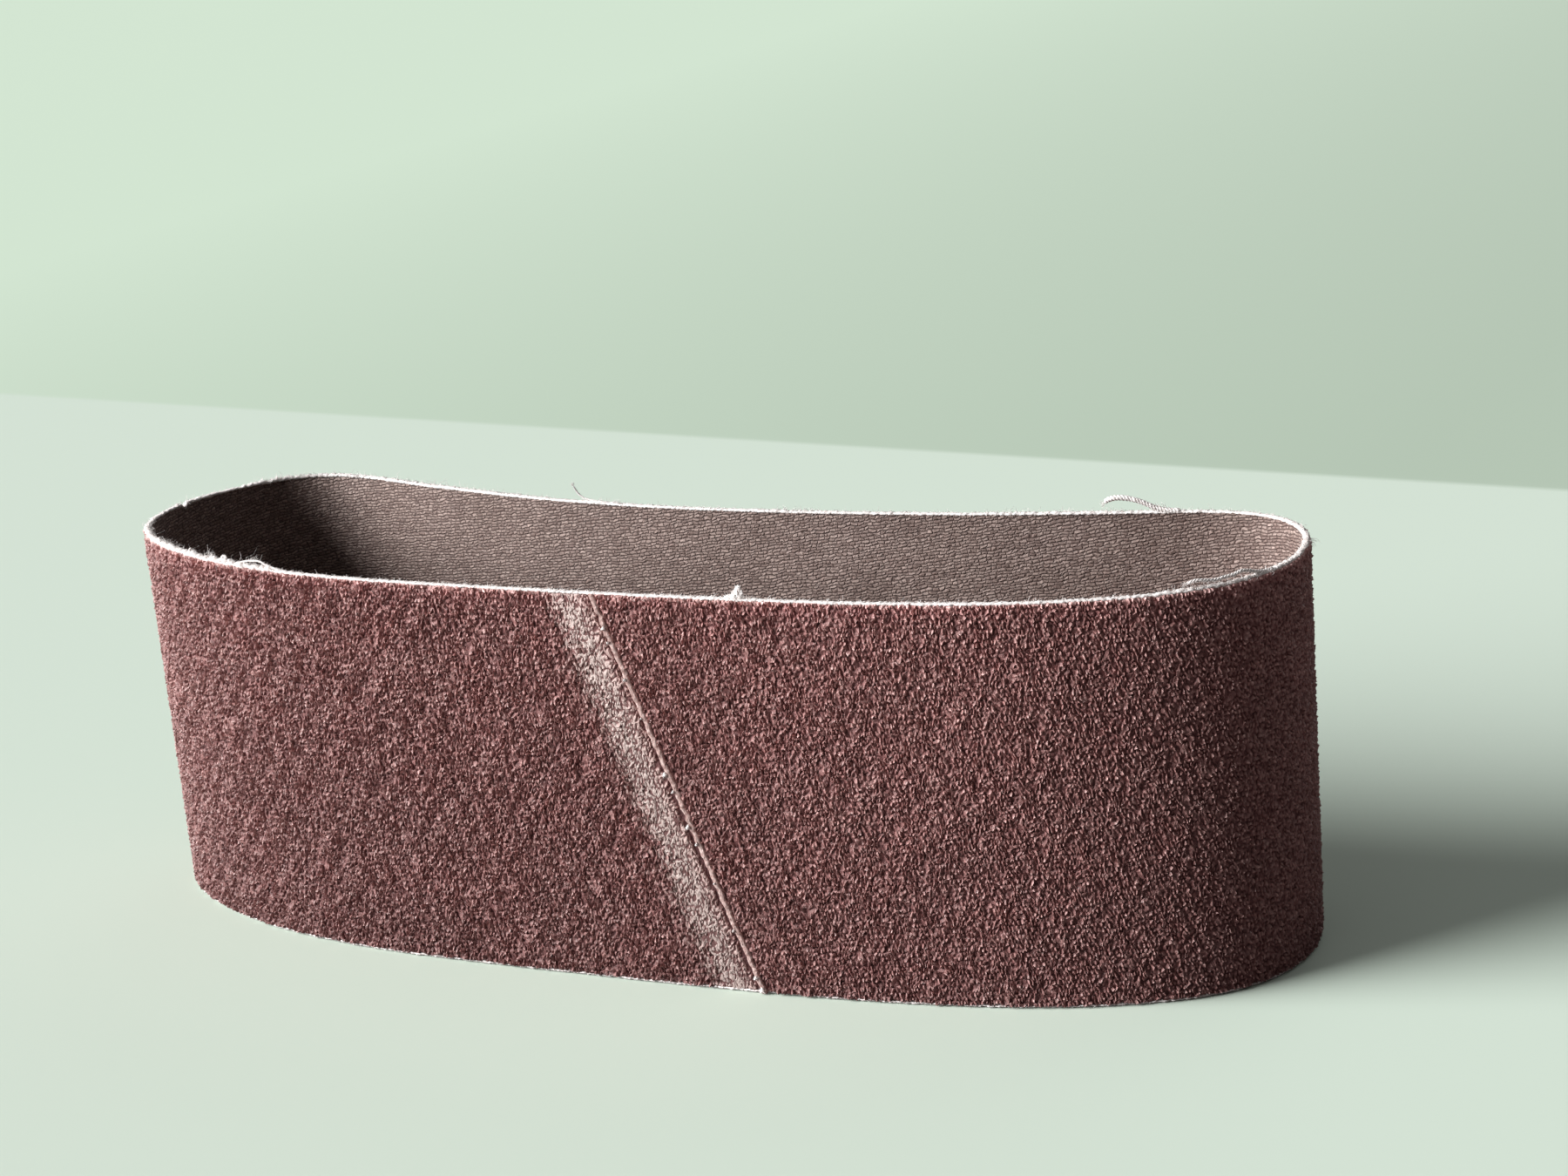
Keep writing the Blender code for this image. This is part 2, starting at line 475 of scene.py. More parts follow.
# Cloth edge rubbed with resin and dust
def cutEdgeFinish():
    made = Finish("cutEdge")
    grain = made.noise(made.object(), 1700, 4)
    colour = made.ramp(grain, [(0.3, tone(146, 112, 106)), (0.5, tone(192, 162, 155)),
                               (0.72, tone(224, 203, 197))])
    made.join(colour, made.shader.inputs["Base Color"])
    made.shader.inputs["Roughness"].default_value = 0.75
    made.bump(grain, 0.6, 0.00014)
    return made.material


gritLook = gritFinish()
clothLook = clothFinish()
cottonLook = cottonFinish()
cutEdgeLook = cutEdgeFinish()


# Cloth

cloth = {
    "columns": 380,
    "rows": 228,
    "ribPitch": 0.85 * mm,
    "ribDepth": 0.07 * mm,
    "ribSlope": -math.tan(math.radians(9)),
    "low": 0.1 * mm,              # rims, under the cotton edges
    "high": 0.15 * mm,
    "unevenness": 0.012 * mm,
    "seam": 0.03 * mm,            # height of the first and last columns, which are joined
    "back": 0.04 * mm,            # outer side, under the coat
    "backCover": 0.3 * mm,        # least coat over it
    "seed": 21,
}


def buildCloth():
    random = np.random.default_rng(cloth["seed"])
    bpy.ops.object.select_all(action="DESELECT")
    bpy.ops.mesh.primitive_grid_add(x_subdivisions=cloth["columns"], y_subdivisions=cloth["rows"], size=1)
    piece = bpy.context.object
    piece.name = "clothBacking"
    flat = places(piece)
    along = (flat[:, 0] + 0.5) * beltLength
    share = flat[:, 1] + 0.5
    up = cloth["low"] + share * (rimTop(along) - cloth["low"] - cloth["high"])

    # ribs of the twill, and the way the floats wander
    sway = wander(along, 25 * mm, random) * 0.3 + wander(along + up * 2, 9 * mm, random) * 0.1
    rib = np.cos((up - cloth["ribSlope"] * along) / cloth["ribPitch"] * 2 * math.pi + sway * 3)
    u = pastLap(along, up)
    out = innerFace(u) - rib * cloth["ribDepth"] / 2 + cloth["ribDepth"] / 2
    out += random.normal(0, cloth["unevenness"], len(out))
    seam = (flat[:, 0] < -0.4999) | (flat[:, 0] > 0.4999)
    out[seam] = cloth["seam"]

    layer = piece.data.uv_layers.new(name="flat")
    corners = np.empty(len(piece.data.loops), np.int32)
    piece.data.loops.foreach_get("vertex_index", corners)
    layer.data.foreach_set("uv", np.column_stack([along, up])[corners].astype(np.float32).ravel())

    # the outer side is plain, because the coat covers it
    edit = editing(piece)
    for edge in edit.edges:
        edge.select = edge.is_boundary and abs(edge.verts[0].co.y - edge.verts[1].co.y) < 1e-6
    bmesh.update_edit_mesh(piece.data)
    bpy.ops.mesh.extrude_region_move(TRANSFORM_OT_translate={"value": (0, 0, -1)})
    bpy.ops.mesh.bridge_edge_loops()
    bpy.ops.object.mode_set(mode="OBJECT")

    # what the extrusion added lies one unit lower, above the same columns
    now = places(piece)
    full = np.zeros((len(now), 3))
    count = len(flat)
    full[:count] = np.column_stack([along, out, up])
    addedAlong = (now[count:, 0] + 0.5) * beltLength
    addedUp = np.where(now[count:, 1] > 0, rimTop(addedAlong) - cloth["high"], cloth["low"])
    back = np.minimum(belt["cloth"] - cloth["back"],
                      outerFace(pastLap(addedAlong, addedUp)) - cloth["backCover"])
    full[count:] = np.column_stack([addedAlong, back, addedUp])
    setPlaces(piece, bend(full))

    edit = editing(piece)
    bpy.ops.mesh.select_all(action="SELECT")
    bpy.ops.mesh.remove_doubles(threshold=0.00001)
    bpy.ops.mesh.normals_make_consistent(inside=False)
    bpy.ops.object.mode_set(mode="OBJECT")
    bpy.ops.object.shade_smooth_by_angle(angle=math.radians(60))
    finished(piece, clothLook)
    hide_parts(belt["node"])


# Bare cut edge of the upper ply, in mm: section across, and heights above the loop line
cutEdge = {
    "steps": 420,
    "sides": 9,
    "width": 1.05,
    "across": (0.0, 0.1, 0.3, 0.75, 1.0),
    "height": (1.26, 1.4, 1.44, 1.42, 1.2),
    "under": 0.55,                # its lower side, in the cloth
    "roughness": 0.045,
    "knots": 110,                 # places up it where it wanders and is worn
    "wander": 0.1,
    "worn": 0.08,
    "seed": 7,
}


# Grit

grit = {
    "pitch": 0.61 * mm,           # between grains along the belt, and up it
    "rise": 0.87 * mm,
    "jitter": 0.36,
    "drift": 0.13 * mm,           # slow drift of the grains, which makes them uneven in size
    "parts": 4,
    "lowRim": 0.28 * mm,          # the coat stops short of the rims
    "highRim": 0.05 * mm,
    "hollow": (0.04, 0.2),        # heights above the cloth, in mm
    "saddle": (0.26, 0.5),
    "saddles": 0.4,
    "peak": (0.36, 0.84),
    "sunken": (0.16, 0.3),
    "sunk": 0.16,
    "crestLean": (0.08, 0.34, 0.08, 0.08, 0.34, 0.08),     # share of crests at 60, 120, 180... degrees
    "crestHalf": (0.14, 0.4),     # half its length, as a share of the grain
    "crestTilt": 0.09,
    "bandEdge": 2 * mm,           # how far the ground band's left border wanders
    "flatTops": 0.84,             # share of crests cut flat in it, and of hollows full of dust
    "dusty": 0.24,
    "least": 0.05 * mm,           # above the floor
    "seed": 40,
}


# A crust of six-cornered grains, each with a short crest of its own direction and height
def buildGrit():
    random = np.random.default_rng(grit["seed"])
    columns = int(round(beltLength / grit["pitch"] / grit["parts"])) * grit["parts"]
    across = beltLength / columns
    rows = int(round(belt["width"] / grit["rise"]))
    rise = belt["width"] / rows

    # middles of the grains, with one more row past each rim
    row, column = np.meshgrid(np.arange(-1, rows + 1), np.arange(columns), indexing="ij")
    inside = (row >= 0) & (row < rows)
    shift = np.where(inside, 1, 0) * grit["jitter"]
    along = (column + 0.5 * (row % 2) + random.uniform(-1, 1, row.shape) * shift) * across
    up = (row + 0.5 + random.uniform(-1, 1, row.shape) * shift) * rise

    def middle(atRow, atColumn):
        turns, at = np.divmod(atColumn, columns)
        return np.stack([along[atRow + 1, at] + turns * beltLength, up[atRow + 1, at]], axis=-1)

    # hollows, where three grains meet: those that point up and those that point down
    r, c = np.meshgrid(np.arange(-1, rows), np.arange(columns), indexing="ij")
    odd = r % 2
    threes = (((r, c), (r, c + 1), (r + 1, c + odd)), ((r + 1, c - 1 + odd), (r + 1, c + odd), (r, c)))
    hollows = []
    for three in threes:
        weights = random.dirichlet((7, 7, 7), r.shape)
        hollows.append(sum(middle(*at) * weights[..., side, None] for side, at in enumerate(three)))
    hollowCount = r.size
    hollow = np.concatenate([spot.reshape(-1, 2) for spot in hollows])

    # corners of each grain, anticlockwise from the right, as places in the list of hollows
    r, c = np.meshgrid(np.arange(rows), np.arange(columns), indexing="ij")
    odd = r % 2

    def upward(atRow, atColumn):
        return (atRow + 1) * columns + atColumn % columns

    def downward(atRow, atColumn):
        return hollowCount + upward(atRow, atColumn)

    corners = np.stack([upward(r, c), downward(r, c), upward(r, c - 1), downward(r - 1, c - 1 + odd),
                        upward(r - 1, c - 1 + odd), downward(r - 1, c + odd)], axis=-1).reshape(-1, 6)

    # crests
    count = rows * columns
    grainAlong, grainUp = along[1:-1].ravel(), up[1:-1].ravel()
    sector = random.choice(6, count, p=grit["crestLean"])
    turn = np.radians(60 * sector + 60) + random.uniform(-0.5, 0.5, count)
    half = random.uniform(*grit["crestHalf"], count)
    step = np.column_stack([np.cos(turn) * across, np.sin(turn) * rise * 1.15]) * half[:, None]
    crestFar = np.column_stack([grainAlong, grainUp]) + step
    crestNear = np.column_stack([grainAlong, grainUp]) - step

    flat = np.vstack([hollow, crestNear, crestFar])
    for turns in random.integers(60, 130, 7):
        rising = random.uniform(-900, 900)
        phase = flat[:, 0] / beltLength * 2 * math.pi * turns + flat[:, 1] * rising + random.uniform(0, 6.28)
        way = random.uniform(0, 2 * math.pi)
        inner = np.sin(np.clip(flat[:, 1] / belt["width"], 0, 1) * math.pi) ** 0.5
        swing = [math.cos(way) * np.sin(phase), math.sin(way) * np.sin(phase) * inner]
        flat += np.column_stack(swing) * grit["drift"]
    u = pastLap(flat[:, 0], flat[:, 1])
    tops = np.arange(len(flat)) >= len(hollow)

    low, high = grit["peak"]
    lift = low + (high - low) * random.beta(2.0, 2.2, count)
    sunk = random.uniform(size=count) < grit["sunk"]
    lift[sunk] = random.uniform(*grit["sunken"], sunk.sum())
    tilt = random.normal(0, grit["crestTilt"], count)
    raised = random.uniform(size=len(hollow)) < grit["saddles"]
    base = np.where(raised, random.uniform(*grit["saddle"], len(hollow)),
                    random.uniform(*grit["hollow"], len(hollow)))
    lifts = np.concatenate([base, lift + tilt, lift - tilt])
    height = outerFace(u) - belt["grit"] + lifts * mm
    relief = np.clip(lifts / high, 0, 1)

    # band ground down beside the lap: crests cut flat, and some hollows full of dust
    border = -lap["crevice"] - lap["groundWidth"]
    shared = np.concatenate([random.normal(0, grit["bandEdge"], len(hollow)),
                             np.tile(random.normal(0, grit["bandEdge"], count), 2)])
    edge = edgeAt(flat[:, 1])
    band = (u > border + shared) & (u < edge)
    full = belt["cloth"] + belt["grit"]
    cutLevel = np.interp(u, [-2.1 * mm, -0.5 * mm], [full - lap["groundDepth"], full - 0.1 * mm])
    cutLevel += random.normal(0, 0.012 * mm, len(flat))
    filled = random.uniform(size=len(flat)) < np.where(tops, grit["flatTops"], grit["dusty"])
    pit = belt["cloth"] + random.uniform(0.0, 0.12, len(flat)) * mm
    height = np.where(band, np.where(filled, cutLevel, pit), height)
    relief = np.where(band, np.where(filled, random.uniform(0.8, 1, len(flat)),
                                     random.uniform(0, 0.25, len(flat))), relief)
    dust = np.interp(u / mm, (-9.5, -6, -2.6, -1.2, 0.5), (0.35, 1, 1, 0.6, 0.45))
    ground = band * dust

    # bed of the bare cut edge, with the open glue line on its left, closed towards the top. Relief 0 paints
    # that line the darkest colour, as painted shade in the crevice
    openLine = np.interp(flat[:, 1], [36 * mm, 58 * mm], [1.0 * mm, 0.4 * mm])
    shadedGlueLine = (u > edge - openLine) & (u < edge + cutEdge["width"] * mm)
    height = np.where(shadedGlueLine, belt["cloth"] - 0.02 * mm, height)
    relief = np.where(shadedGlueLine, 0.0, relief)
    ground = np.where(shadedGlueLine, 0.0, ground)
    grainTint = np.clip(random.normal(0.5, 0.22, count), 0, 1)
    tint = np.concatenate([random.uniform(0.3, 0.6, len(hollow)), grainTint, grainTint])

    # the coat's borders at the rims
    lowRim = grit["lowRim"] * (1 + 0.5 * wander(flat[:, 0], 4 * mm, random))
    highRim = grit["highRim"] * (1 + 0.5 * wander(flat[:, 0], 4 * mm, random))
    share = np.clip(flat[:, 1] / belt["width"], 0, 1)
    upright = lowRim + share * (rimTop(flat[:, 0]) - lowRim - highRim)
    placed = np.column_stack([flat[:, 0], height, np.maximum(upright, grit["least"])])

    # grains along the upper rim are painted pale, as painted light catching the top edge
    paintedLightByHeight = np.clip(1.2 - (belt["width"] - flat[:, 1]) / (0.9 * mm), 0, 1)
    relief = np.clip(relief + 0.6 * paintedLightByHeight, 0, 1)

    near = len(hollow) + np.arange(count)
    far = near + count
    grain = np.arange(count)
    triangles, owner = [], []
    partOf = c.ravel() // (columns // grit["parts"])
    for side in range(6):
        here = corners[grain, (sector + side - 1) % 6]
        after = corners[grain, (sector + side) % 6]
        triangles.append(np.column_stack([here, after, far if side < 3 else near]))
        owner.append(partOf)
    triangles.append(np.column_stack([corners[grain, (sector + 2) % 6], near, far]))
    triangles.append(np.column_stack([corners[grain, (sector + 5) % 6], far, near]))
    owner += [partOf, partOf]
    triangles, owner = np.vstack(triangles), np.concatenate(owner)

    # skirts that close the coat down to the cloth at both rims
    every = np.arange(columns)
    for atRow, isTop in ((-1, False), (rows - 1, True)):
        alongRow = np.full(columns, atRow)
        rim = np.concatenate([upward(alongRow, every), downward(alongRow, every)])
        rim = rim[np.argsort(np.mod(hollow[rim, 0], beltLength))]
        inner = len(placed) + np.arange(len(rim))
        under = placed[rim].copy()
        under[:, 1] = belt["cloth"] - 0.1 * mm
        placed = np.vstack([placed, under])
        after, innerAfter = np.roll(rim, -1), np.roll(inner, -1)
        strip = [np.column_stack([rim, inner, innerAfter]), np.column_stack([rim, innerAfter, after])]
        if isTop:
            strip = [one[:, ::-1] for one in strip]
        triangles = np.vstack([triangles, *strip])
        part = (np.mod(placed[rim, 0], beltLength) / beltLength * grit["parts"]).astype(int)
        part %= grit["parts"]
        owner = np.concatenate([owner, part, part])
    extra = len(placed) - len(relief)
    relief = np.r_[relief, np.full(extra, 0.2)]
    ground = np.r_[ground, np.zeros(extra)]
    tint = np.r_[tint, np.full(extra, 0.4)]

    bent = bend(placed)
    for part in range(grit["parts"]):
        meshPiece("gritCoat_" + "abcd"[part], bent, triangles[owner == part], gritLook,
                  {"relief": relief, "ground": ground, "tint": tint,
                   "along": placed[:, 0] / mm, "up": placed[:, 2] / mm})


buildCloth()
print("cloth done")
buildGrit()
print("grit done")


# A narrow bare strip along the lap, modelled flat, then put on the slant and bent
def buildCutEdge():
    random = np.random.default_rng(cutEdge["seed"])
    bpy.ops.object.select_all(action="DESELECT")
    bpy.ops.mesh.primitive_grid_add(x_subdivisions=cutEdge["sides"], y_subdivisions=cutEdge["steps"], size=1)
    piece = bpy.context.object
    piece.name = "cutEdge"
    editing(piece)
    bpy.ops.mesh.select_all(action="SELECT")
    bpy.ops.mesh.extrude_region_move(TRANSFORM_OT_translate={"value": (0, 0, 1)})
    bpy.ops.mesh.select_all(action="SELECT")
    bpy.ops.mesh.normals_make_consistent(inside=False)
    bpy.ops.object.mode_set(mode="OBJECT")
    flat = places(piece)
    share = flat[:, 0] + 0.5
    up = 0.06 * mm + (flat[:, 1] + 0.5) * (belt["width"] - 0.1 * mm)
    knots = np.linspace(0, belt["width"], cutEdge["knots"])
    sway = np.interp(up, knots, random.normal(0, cutEdge["wander"], len(knots)))
    worn = np.interp(up, knots, random.normal(0, cutEdge["worn"], len(knots)))
    top = np.interp(share, cutEdge["across"], cutEdge["height"])
    top += random.normal(0, cutEdge["roughness"], len(flat)) + worn
    out = np.where(flat[:, 2] > 0.5, top, cutEdge["under"])
    u = edgeAt(up) + (share * cutEdge["width"] + sway) * mm
    along = lap["place"] + lap["slant"] * (belt["width"] / 2 - up) + u
    setPlaces(piece, bend(np.column_stack([along, out * mm, up])))
    bpy.ops.object.shade_smooth()
    finished(piece, cutEdgeLook)


buildCutEdge()
print("cut edge done")


# Bare cotton along the rims. Lengths in mm.

rims = {
    "steps": 1900,
    "sides": 8,
    "top": {"base": -0.3, "height": 0.18, "outer": 0.98},
    "foot": {"base": 0.0, "height": 0.4, "outer": 0.9},
    "frayed": ((8, 66, 1.7), (150, 168, 0.3), (232, 262, 0.6), (262, 290, 0.3), (304, 346, 0.4),
               (372, 392, 0.4), (416, 430, 0.5), (440, 512, 0.5), (498, 514, 0.8),
               (518, 533, 0.6)),                              # from, to, how much more
    "seed": 11,
}


# How frayed the upper rim is at places along it, 0 where it is cut clean
def frayed(at):
    total = np.zeros(np.shape(at))
    for start, end, much in rims["frayed"]:
        total += much * np.clip(np.minimum(at / mm - start, end - at / mm) / 5, 0, 1)
    return total


# A lumpy ring of cut cotton, rounded in section, all along one rim
def buildRimCotton(name, upper):
    random = np.random.default_rng(rims["seed"] + upper)
    steps, sides = rims["steps"], rims["sides"]
    at = np.arange(steps) / steps * beltLength
    turn = (np.arange(sides) + 0.5) / sides * 2 * math.pi
    values = rims["top"] if upper else rims["foot"]
    more = frayed(at) if upper else np.zeros(steps)
    lumps = 1 + 0.2 * wander(at, 1.2 * mm, random, 60) + (0.2 + 0.2 * more) * random.normal(0, 1, steps)
    inner = -0.05 + 0.06 * random.normal(0, 1, steps) - 0.1 * more
    outer = values["outer"] + 0.08 * random.normal(0, 1, steps) + 0.06 * wander(at, 3 * mm, random)
    low = values["base"] * np.ones(steps)
    high = values["height"] * np.clip(lumps, 0.3, 2) * (1 + 0.9 * more)
    rim = rimTop(at) / mm if upper else np.zeros(steps)
    middle, reach = (inner + outer) / 2, (outer - inner) / 2
    centre, span = (low + high) / 2, (high - low) / 2
    cosine, sine = (np.sign(f(turn)) * np.abs(f(turn)) ** 0.75 for f in (np.cos, np.sin))
    cosine, sine = cosine / np.abs(cosine).max(), sine / np.abs(sine).max()
    out = middle[:, None] + reach[:, None] * cosine + 0.04 * random.normal(0, 1, (steps, sides))
    up = (rim + centre)[:, None] + span[:, None] * sine + 0.05 * random.normal(0, 1, (steps, sides))
    up = np.maximum(up, 0.004)
    along = np.repeat(at[:, None], sides, axis=1)
    flat = np.stack([along, out * mm, up * mm], axis=-1).reshape(-1, 3)
    row, side = np.meshgrid(np.arange(steps), np.arange(sides), indexing="ij")
    here, after = row * sides + side, row * sides + (side + 1) % sides
    ahead = (row + 1) % steps * sides
    corner = ahead + (side + 1) % sides
    triangles = np.vstack([np.stack([here, ahead + side, corner], axis=-1).reshape(-1, 3),
                           np.stack([here, corner, after], axis=-1).reshape(-1, 3)])
    meshPiece(name, bend(flat), triangles, cottonLook, smooth=True)


buildRimCotton("cottonEdge_top", True)
buildRimCotton("cottonEdge_foot", False)
print("cotton edges done")


# Loose cotton: fibres, yarns that have come away, and tufts. Flat places in mm.

fibres = {"top": 3600, "foot": 900, "length": 0.45, "radius": 0.032, "seed": 5}

yarns = (
    {"name": "looseYarn_frontRight", "radius": 0.32, "path": (
        (238.3, 0.0, 76.0), (240.2, 0.1, 76.35), (242.0, 0.1, 76.15), (243.8, 0.1, 75.95),
        (245.6, 0.15, 76.1), (247.4, 0.2, 76.2), (248.8, 0.2, 76.5), (250.3, 0.25, 76.25),
        (252.0, 0.3, 75.7), (254.0, 0.35, 75.3), (256.5, 0.35, 75.15))},
    {"name": "looseYarn_rear", "radius": 0.5, "path": (
        (322.2, 0.3, 76.9), (321.5, 0.3, 77.45), (320.4, 0.3, 77.8), (319.0, 0.35, 77.85),
        (317.4, 0.35, 77.65), (315.8, 0.35, 77.2), (314.2, 0.35, 76.5), (312.6, 0.35, 75.8),
        (311.0, 0.35, 75.35), (308.0, 0.35, 75.15))},
    {"name": "looseYarn_frontLeft", "radius": 0.2, "path": (
        (52.0, 0.3, 75.1), (53.6, 0.3, 75.5), (55.4, 0.35, 76.05), (57.6, 0.4, 76.4), (59.4, 0.4, 76.4),
        (61.1, 0.4, 75.85), (63.2, 0.35, 75.35), (65.0, 0.3, 75.1))},
    {"name": "looseYarn_rearLeft", "radius": 0.2, "path": (
        (430.4, 0.3, 78.3), (430.0, 0.3, 77.5), (429.3, 0.3, 76.6), (428.3, 0.3, 75.9), (426.9, 0.35, 75.5),
        (425.0, 0.35, 75.3), (422.5, 0.35, 75.1))},
)

yarn = {"plies": 3, "twist": 1.9, "step": 0.16, "fuzz": 5, "endHairs": 26, "seed": 3}

tufts = {
    "knot": {"middle": (159.5, 0.45, 75.55), "reach": (1.4, 0.62, 1.15), "lean": 0.25, "fuzz": 160},
    # past the cut edge's left side, up, size
    "lap": ((0.2, 68.6, 0.34), (0.0, 66.0, 0.24), (0.1, 59.1, 0.28), (0.0, 52.0, 0.18), (-0.2, 41.4, 0.42),
            (-0.1, 38.2, 0.24), (-0.2, 31.6, 0.36), (0.1, 28.4, 0.26), (0.2, 21.0, 0.18), (-0.1, 12.0, 0.24),
            (0.1, 2.9, 0.34), (0.3, 0.6, 0.5)),
    # on the upper rim at the front left: along, up, size
    "rim": ((25.4, 75.4, 0.6), (30.6, 75.3, 0.55), (38.4, 75.4, 0.5), (45.6, 75.4, 0.55),
            (49.2, 75.6, 0.7), (51.2, 75.4, 0.6)),
    # wisps that stand off the rims: foot, way, length, how many
    "wisps": (((311.3, 0.35, 75.3), (0.1, 0, 1), 1.9, 16), ((274.2, 0.9, 75), (0.1, 1, -0.7), 2.1, 12),
              ((28, 0.3, 75.5), (0.6, 0, 0.8), 1.3, 10), ((45, 0.3, 75.5), (0.5, -0.2, 1), 1.7, 12),
              ((58, 0.3, 76.3), (0.8, 0, 0.8), 1.5, 8), ((330, 0.35, 75.2), (-0.5, 0, 0.6), 1.2, 10),
              ((380, 0.35, 75.2), (0.3, 0, 0.9), 1.1, 8), ((2, 0.9, 74.6), (0.2, 1, 0.4), 0.9, 14),
              ((504.5, 0.4, 75.1), (0.3, -0.3, 0.6), 1, 26), ((488.5, 0.2, 75.1), (0.2, -0.8, 0.1), 1.1, 16),
              ((529.5, 0.5, 75.1), (0.4, 0.4, 0.8), 0.9, 14)),
    "seed": 9,
}


# An even smooth path through a few points
def smoothPath(points, step):
    points = np.asarray(points, float)
    padded = np.vstack([2 * points[0] - points[1], points, 2 * points[-1] - points[-2]])
    pieces = []
    for a, b, c, d in zip(padded, padded[1:], padded[2:], padded[3:]):
        t = np.linspace(0, 1, 12, endpoint=False)[:, None]
        pieces.append(0.5 * (2 * b + (c - a) * t + (2 * a - 5 * b + 4 * c - d) * t**2
                             + (3 * b - a - 3 * c + d) * t**3))
    path = np.vstack(pieces + [points[-1:]])
    along = np.r_[0, np.cumsum(np.linalg.norm(np.diff(path, axis=0), axis=1))]
    at = np.linspace(0, along[-1], max(4, int(along[-1] / step)))
    return np.stack([np.interp(at, along, path[:, axis]) for axis in range(3)], axis=1)


# Thickness of a hair at its four points
def hairShape(radius, tip):
    return radius * np.array([1.2, 1.0, 0.8, tip])


# A short path that leaves start and wanders
def hair(start, way, length, random, curl=0.5, points=4):
    path, way = [np.asarray(start, float)], np.asarray(way, float)
    for _ in range(points - 1):
        way = way / np.linalg.norm(way) + random.normal(0, curl, 3)
        path.append(path[-1] + way / np.linalg.norm(way) * length / (points - 1))
    path = np.array(path)
    path[:, 2] = np.maximum(path[:, 2], 0.06)
    return path


def cottonStrands(name, paths, radii, sides=3):
    points, triangles = strands(paths, radii, sides)
    meshPiece(name, bend(points * mm), triangles, cottonLook, smooth=True)


def buildRimFibres():
    random = np.random.default_rng(fibres["seed"])
    for name, upper in (("rimFibres_top", True), ("rimFibres_foot", False)):
        paths, radii = [], []
        wanted = fibres["top" if upper else "foot"]
        while len(paths) < wanted:
            at = random.uniform(0, beltLength / mm)
            more = float(frayed(np.array(at * mm))) if upper else 0
            if upper and random.uniform() > 0.35 + 0.65 * more:
                continue
            out = random.uniform(0.0, 0.95)
            length = fibres["length"] * random.lognormal(0, 0.45) * (1 + 1.1 * more)
            if upper:
                start = (at, out, float(rimTop(at * mm)) / mm + 0.15)
                way = (random.normal(0, 0.8), random.normal(0.0, 0.5), random.uniform(0.3, 1.0))
            else:
                start = (at, 0.85, random.uniform(0.08, 0.45))
                way = (random.normal(0, 0.9), random.uniform(0.3, 1.0), random.uniform(-0.3, 0.5))
            path = hair(start, way, length, random, 0.45 + 0.3 * more)
            paths.append(path)
            radii.append(hairShape(fibres["radius"] * random.uniform(0.7, 1.3), 0.35))
        cottonStrands(name, paths, radii)


def buildYarns():
    random = np.random.default_rng(yarn["seed"])
    for values in yarns:
        path = smoothPath(values["path"], yarn["step"])
        along = np.arange(len(path)) * yarn["step"]
        ends = np.clip(np.minimum(along, along[::-1]) / 0.5, 0.35, 1)
        paths, radii = [], []
        for ply in range(yarn["plies"]):
            turn = along / yarn["twist"] * 2 * math.pi + ply / yarn["plies"] * 2 * math.pi
            away = values["radius"] * 0.5 * ends
            twisted = path + np.column_stack([0 * turn, np.cos(turn) * away, np.sin(turn) * away])
            paths.append(twisted + random.normal(0, 0.012, twisted.shape))
            radii.append(values["radius"] * 0.58 * ends * random.uniform(0.85, 1.15, len(path)))
        cottonStrands(values["name"], paths, radii, sides=6)

        hairs, thin = [], []
        for _ in range(int(along[-1] * yarn["fuzz"])):
            start = path[random.integers(0, len(path))] + random.normal(0, values["radius"] * 0.4, 3)
            hairs.append(hair(start, random.normal(0, 1, 3), random.uniform(0.3, 0.9), random, 0.5))
            thin.append(hairShape(0.022, 0.3))
        for _ in range(yarn["endHairs"]):       # frayed free end
            start = path[0] + random.normal(0, values["radius"] * 0.45, 3)
            way = path[0] - path[3] + random.normal(0, 0.25, 3)
            hairs.append(hair(start, way, random.uniform(0.3, 0.9), random, 0.45))
            thin.append(hairShape(0.026, 0.3))
        cottonStrands(values["name"] + "_fuzz", hairs, thin)


# A ball of matted cotton, drawn out to a peak that leans. Gives its flat places
def mattedBall(middle, reach, lean, detail, random):
    bpy.ops.object.select_all(action="DESELECT")
    bpy.ops.mesh.primitive_ico_sphere_add(subdivisions=detail, radius=1)
    piece = bpy.context.object
    ball = places(piece)
    swell = np.ones(len(ball))
    for wave, much in ((2.6, 0.09), (6.0, 0.06), (13.0, 0.035)):
        for _ in range(7):
            swell += much * np.sin(ball @ random.normal(0, wave, 3) + random.uniform(0, 2 * math.pi))
    x, y, z = (ball * swell[:, None]).T
    peaked = np.where(z > 0, z * (1 + 0.35 * np.exp(-(x / 0.4) ** 2)), z * 0.6)
    flat = np.column_stack([x * (1 - 0.3 * np.clip(z, 0, 1)) + lean * z, y, peaked]) * reach + middle
    flat[:, 2] = np.maximum(flat[:, 2], 0.03)
    editing(piece)
    bpy.ops.mesh.select_all(action="SELECT")
    bpy.ops.mesh.flip_normals()             # the bend mirrors it
    bpy.ops.object.mode_set(mode="OBJECT")
    setPlaces(piece, bend(flat * mm))
    bpy.ops.object.shade_smooth()
    return piece, flat


def joinedTufts(name, balls):
    bpy.ops.object.select_all(action="DESELECT")
    for ball in balls:
        ball.select_set(True)
    bpy.context.view_layer.objects.active = balls[0]
    bpy.ops.object.join()
    balls[0].name = name
    finished(balls[0], cottonLook)


